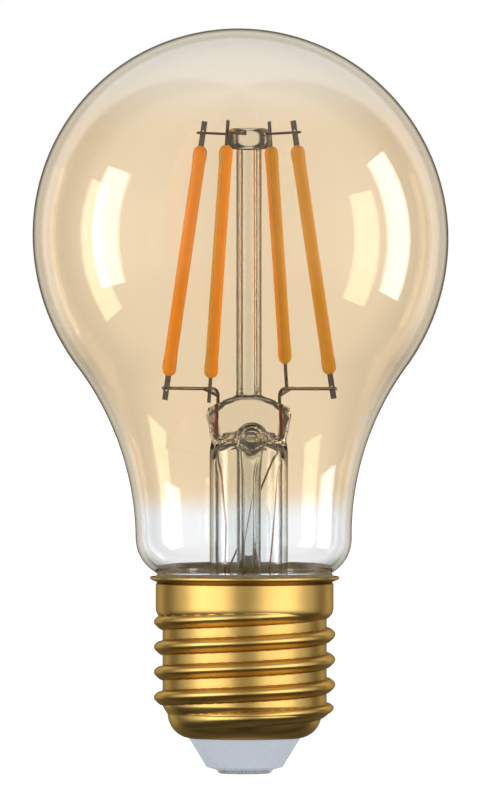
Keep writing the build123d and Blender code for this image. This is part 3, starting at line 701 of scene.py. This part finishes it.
def root_profile(z):
    """The shell's radius at a height, without the thread and the collar."""
    bowl_x, bowl_z = BOWL_CENTRE
    if z <= bowl_z:
        return bowl_x + sqrt(max(0.0, BOWL_RADIUS**2 - (bowl_z - z) ** 2))
    edge = bowl_x + BOWL_RADIUS
    return edge + (ROOT_RADIUS - edge) * smooth_step(bowl_z - BOWL_BLEND, ROOT_END_Z, z)


def collar_profile(z):
    """The collar and the lip over it, or nothing below them."""
    if z < ROOT_TOP_Z:
        return 0.0
    tuck_start = COLLAR_END_Z + COLLAR_TUCK_RISE
    tuck = max(0.0, min(1.0, (tuck_start - z) / (tuck_start - ROOT_TOP_Z)))
    collar = COLLAR_RADIUS - (COLLAR_RADIUS - ROOT_RADIUS) * tuck**COLLAR_TUCK_POWER
    groove = GROOVE_DEPTH * exp(-(((z - GROOVE_Z) / GROOVE_HALF_HEIGHT) ** 2))
    flare = (LIP[0] - COLLAR_RADIUS) * smooth_step(*LIP_SPREAD, z)
    return collar - groove + flare


def flank(z, crest_z):
    """The ridge's share of its full height at z, rounded at the crest and at its foot."""
    above = z > crest_z
    away = (z - crest_z) / CREST_ABOVE if above else (crest_z - z) / CREST_BELOW
    if away >= 1:
        return 0.0
    blunt = sqrt(away**2 + CREST_BLUNTNESS) - sqrt(CREST_BLUNTNESS)
    shape = 1 - blunt ** (UPPER_POWER if above else LOWER_POWER)
    return max(0.0, shape) * smooth_step(1.0, FLANK_FOOT, away)


def thread(angle, z):
    """The thread's height over the root at an angle in degrees and a height."""
    start = THREAD_START_ANGLE
    end = start + 360 * (THREAD_END_Z - THREAD_START_Z) / THREAD_PITCH
    best = 0.0
    for turn in THREAD_TURNS:
        total = angle + 360 * turn
        fade = smooth_step(start + THREAD_FADE_IN[0], start + THREAD_FADE_IN[1], total)
        fade *= 1 - smooth_step(end + THREAD_FADE_OUT[0], end + THREAD_FADE_OUT[1], total)
        crest_z = THREAD_START_Z + THREAD_PITCH * (total - start) / 360
        if fade > 0:
            best = max(best, fade * THREAD_CREST * flank(z, crest_z))
    return best


def shell_radius(angle, z):
    return max(collar_profile(z), root_profile(z) + thread(angle, z))


def screw_shell():
    """The rolled shell: its outside from the bowl up to the lip, then its inside back down."""
    low = BOWL_CENTRE[1] - BOWL_RADIUS * sin(radians(BOWL_SWEEP))
    high = LIP[1]
    count = round((high - low) / SHELL_STEP)
    heights = [low + (high - low) * n / count for n in range(count + 1)]
    rows = [(z, 0.0) for z in heights]
    rows.append((high + LIP_EDGE_RISE, LIP_EDGE_INSET))
    rows += [(z, CAP_WALL) for z in heights[::-3]]
    points = []
    for z, inset in rows:
        for n in range(SHELL_AROUND):
            degrees_round = 360 * n / SHELL_AROUND - 180
            radius = shell_radius(degrees_round, min(z, high)) - inset
            angle = radians(degrees_round)
            points.append((radius * cos(angle), radius * sin(angle), z))
    faces = grid_faces(len(rows), SHELL_AROUND, True)
    return solid("rolled_shell", points, faces, "gold_cap", "screw_shell", 50)


def crumbled(point):
    """A point of the cement's bead moved a little, more the higher it stands."""
    x, y, z = point
    spot = Vector(point)
    lift = max(0.0, z - CEMENT_LIFT_START_Z) / CEMENT_LIFT_SPAN
    swell = 0.16 * noise.noise(spot * 0.9) + 0.08 * noise.noise(spot * 3.0)
    grit = 0.05 * noise.noise(spot * 9.0)
    scale = 1 + (grit + 0.3 * swell) * min(1, lift * 2) / hypot(x, y)
    return (x * scale, y * scale, z + lift * (swell + grit - 0.05))


def cement_bead():
    """The cement between the neck and the collar, and its bead above the lip."""
    inside = COLLAR_RADIUS - 2 * CAP_WALL
    outline = [(NECK_RADIUS - 0.4, CEMENT_FOOT_Z), (inside, CEMENT_FOOT_Z), (inside, 27.8), (12.9, 28.42)]
    outline += [(12.93 - 0.04 * n, 28.46 + 0.04 * n) for n in range(7)]
    outline += arc((12.2, 28.7), 0.45, 0, 75, 15)
    outline += [(12.2, 29.05), (11.8, 28.5), (11.2, 27.0)]
    points, faces = turned(outline, around=CEMENT_AROUND)
    solid("cement_bead", [crumbled(p) for p in points], faces, "cement", "basing_cement", 80)


# ---- filaments, drawn upright with +X outwards, then tilted into place


def on_cage(side):
    """The place of a filament's foot, tilted inwards, and the filament's length."""
    slope = (LEVEL_RADIUS - COATING_END_RADIUS) / (COATING_END_Z - LEVEL_Z)
    foot_z = COATING_FEET_Z[side]
    foot_radius = LEVEL_RADIUS + (LEVEL_Z - foot_z) * slope
    slant = atan2(slope, 1)
    place = (
        Matrix.Translation((STEM_X, 0, 0)) @ Matrix.Rotation(radians(FILAMENT_AZIMUTHS[side]), 4, "Z")
        @ Matrix.Translation((foot_radius, 0, foot_z)) @ Matrix.Rotation(-slant, 4, "Y")
    )
    return place, (COATING_END_Z - foot_z) / cos(slant)


def bar_shape(z, length):
    """How far a filament's bar reaches at z: 0 at its tips, about 1 along it, fuller near both ends."""
    near = min(z, length - z)
    tip = sqrt(max(0.0, 1 - (1 - min(1.0, near / TIP_ROUND)) ** 2))
    return tip * (1 + END_SWELL * exp(-(((near - END_SWELL_PLACE) / END_SWELL_SPREAD) ** 2)))


def bar_heights(length):
    """Heights along a bar, closer together at its two ends."""
    end = [TIP_ROUND * (1 - cos(pi / 2 * n / END_STEPS)) for n in range(END_STEPS + 1)]
    end += [TIP_ROUND + END_STEP * n for n in range(1, END_STEPS + 1)]
    middle = [end[-1] + (length - 2 * end[-1]) * n / BAR_STEPS for n in range(1, BAR_STEPS)]
    return end + middle + [length - z for z in end[::-1]]


def filament_bar(name, side, start, sweep, half_size, slot, node_name):
    """A bar along the filament whose section is an ellipse's stretch, angles in degrees."""
    place, length = on_cage(side)
    heights = bar_heights(length)
    columns = BAR_STEPS + 1 if sweep < 360 else BAR_STEPS
    angles = [radians(start + sweep * n / BAR_STEPS) for n in range(columns)]
    points = []
    for z in heights:
        lumps = 1 + 0.02 * noise.noise(Vector((z * 0.7, start, len(side))))
        reach = max(0.02, bar_shape(z, length)) * lumps
        for a in angles:
            points.append(place @ Vector((half_size[0] * reach * cos(a), half_size[1] * reach * sin(a), z)))
    faces = grid_faces(len(heights), columns)
    faces += [tuple(range(columns)), tuple(len(points) - columns + n for n in range(columns))]
    solid(name, points, faces, slot, node_name, 40)


def filaments():
    """Each filament's carrier strip, with one coating on each of its faces."""
    start, sweep = (180 - COATING_SWEEP) / 2, COATING_SWEEP
    for side in FILAMENT_AZIMUTHS:
        amber, gold, strip = side + "_amber_coating", side + "_gold_coating", side + "_filament_strip"
        filament_bar(side + "_amber_bar", side, start, sweep, BAR_HALF_SIZE, "amber_phosphor", amber)
        filament_bar(side + "_gold_bar", side, start + 180, sweep, BAR_HALF_SIZE, "gold_phosphor", gold)
        filament_bar(side + "_carrier", side, 0, 360, CARRIER_HALF_SIZE, "ceramic_strip", strip)


def carried_over():
    """Give every CAD node that stays its material."""
    slots = {entry["node"]: entry["material_slot"] for entry in frame["record"]["subparts"]}
    for name, piece in frame["nodes"].items():
        piece.data.materials.clear()
        piece.data.materials.append(MATERIALS[slots[name]])


# ---- stage and surroundings


def stage():
    """A pale floor, large enough to have no edge in view."""
    half = 6.0
    mesh = bpy.data.meshes.new("floor")
    corners = [(-half, -half, 0), (half, -half, 0), (half, half, 0), (-half, half, 0)]
    mesh.from_pydata(corners, [], [(0, 1, 2, 3)])
    floor = bpy.data.objects.new("floor", mesh)
    bpy.context.scene.collection.objects.link(floor)
    shader = new_material("pale_floor")[1]
    shader.inputs["Base Color"].default_value = (0.2, 0.2, 0.2, 1)
    shader.inputs["Roughness"].default_value = 0.9
    shader.inputs["Specular IOR Level"].default_value = 0.0
    shader.inputs["Emission Color"].default_value = (1, 1, 1, 1)
    shader.inputs["Emission Strength"].default_value = 0.95
    mesh.materials.append(MATERIALS["pale_floor"])
    floor.visible_glossy = False
    floor.visible_transmission = False


def reflected_room(tree, direction, away):
    """What the glass and the metal reflect: walls with dark gaps, and a dim ring round the backdrop.

    The ring's darker levels are also warmer.
    """
    turn = calculated(tree, "ARCTAN2", direction.outputs["X"], direction.outputs["Y"])
    around = calculated(tree, "ABSOLUTE", turn)
    walls = ramp(tree, map_range(tree, around, 0.0, pi, 0.0, 1.0), [
        (position / 180, (level,) * 3) for position, level in WALL_LEVELS
    ])
    heights = ramp(tree, map_range(tree, direction.outputs["Z"], -1.0, 1.0, 0.0, 1.0), [
        ((1 + sin(radians(elevation))) / 2, (level,) * 3) for elevation, level in HEIGHT_LEVELS
    ])
    ring = ramp(tree, map_range(tree, away, 0.0, pi, 0.0, 1.0), [
        (position / 180, (level, level**1.12, level**1.45)) for position, level in RING_LEVELS
    ])
    return mixed(tree, 1.0, mixed(tree, 1.0, walls, heights, "MULTIPLY"), ring, "MULTIPLY")


def seen_through(tree, away):
    """What shows through the glass: white straight on, dark beside it, white again from behind."""
    white_from, white_to = (radians(angle) for angle in THROUGH_WHITE_SPAN)
    side_from, side_to = (radians(angle) for angle in THROUGH_SIDE_SPAN)
    straight = map_range(tree, away, white_from, white_to, 1.0, 0.0, smooth=True)
    beside = map_range(tree, away, side_from, side_to, THROUGH_DARK, 1.0, smooth=True)
    return mixed(tree, straight, beside, (1, 1, 1))


def surroundings():
    """White to the eye; other rays see a room, or its soft light, by how they came there."""
    world = bpy.data.worlds.new("studio")
    bpy.context.scene.world = world
    world.use_nodes = True
    tree = world.node_tree
    coords = node(tree, "ShaderNodeTexCoord")
    direction = node(tree, "ShaderNodeSeparateXYZ")
    link(tree, coords.outputs["Generated"], direction.inputs[0])
    away = calculated(tree, "ARCCOSINE", direction.outputs["Y"])
    path = node(tree, "ShaderNodeLightPath")
    reflected = map_range(tree, path.outputs["Glossy Depth"], 0.0, 1.0, 0.0, 1.0)
    scattered = map_range(tree, path.outputs["Diffuse Depth"], 0.0, 1.0, 0.0, 1.0)
    room = mixed(tree, reflected, seen_through(tree, away), reflected_room(tree, direction, away))
    room = mixed(tree, scattered, room, (SOFT_LEVEL,) * 3)
    seen = mixed(tree, path.outputs["Is Camera Ray"], room, (1, 1, 1))
    link(tree, seen, tree.nodes["Background"].inputs["Color"])
    tree.nodes["Background"].inputs["Strength"].default_value = 1.0


# ---- lights and camera


def softbox(name, azimuth, elevation, size, radiance, target_z, lit):
    """A rectangular soft light on the lit pieces only. Azimuth is from +X, anticlockwise."""
    distance = 0.8
    width, height = size
    light = bpy.data.lights.new(name, "AREA")
    light.shape = "RECTANGLE"
    light.size = width
    light.size_y = height
    light.energy = radiance * pi * width * height
    lamp = bpy.data.objects.new(name, light)
    bpy.context.scene.collection.objects.link(lamp)
    turn, rise = radians(azimuth), radians(elevation)
    away = Vector((cos(turn) * cos(rise), sin(turn) * cos(rise), sin(rise)))
    lamp.location = Vector((0, 0, target_z * MM)) + away * distance
    lamp.rotation_euler = away.to_track_quat("Z", "Y").to_euler()
    lamp.visible_camera = False
    group = bpy.data.collections.new(name + "_lit")
    for piece in lit:
        group.objects.link(piece)
    lamp.light_linking.receiver_collection = group


def lights(glass, cap):
    """Two narrow softboxes draw the glass; two wide ones and a dim front one light the cap."""
    cap_z = 15.0
    softbox("left_softbox", 190.0, 4.0, (0.26, 0.72), 5.0, BULB_CENTRE_Z, glass)
    softbox("right_softbox", 8.0, 5.0, (0.26, 0.76), 5.0, BULB_CENTRE_Z, glass)
    softbox("left_cap_light", 225.0, 12.0, (0.85, 0.7), 1.5, cap_z, cap)
    softbox("right_cap_light", 315.0, 12.0, (0.8, 0.7), 1.3, cap_z, cap)
    softbox("front_cap_light", 270.0, 12.0, (0.34, 0.7), 0.15, cap_z, cap)


def camera():
    """A long lens, almost level with the bulb."""
    distance = 2.0
    elevation = radians(0.7)
    view_height = 0.1154
    data = bpy.data.cameras.new("camera")
    data.sensor_fit = "VERTICAL"
    data.sensor_height = 36.0
    data.lens = data.sensor_height * distance / view_height
    data.clip_end = 50.0
    made = bpy.data.objects.new("camera", data)
    bpy.context.scene.collection.objects.link(made)
    target = Vector((-0.00045, 0, 0.0539))
    made.location = target + Vector((0, -cos(elevation), sin(elevation))) * distance
    made.rotation_euler = (pi / 2 - elevation, 0, 0)
    bpy.context.scene.camera = made


def picture():
    """Plain colours, and enough bounces for glass seen through glass."""
    scene = bpy.context.scene
    scene.view_settings.view_transform = "Standard"
    scene.cycles.max_bounces = 24
    scene.cycles.transmission_bounces = 20
    scene.cycles.transparent_max_bounces = 24
    scene.cycles.glossy_bounces = 8


all_materials()
carried_over()
filaments()
glass_pieces = [glass_bulb(), stem_piece(), post_tube(), pumping_tube(), glass_button()]
cap_pieces = [screw_shell()]
cement_bead()
stage()
surroundings()
lights(glass_pieces, cap_pieces)
camera()
picture()
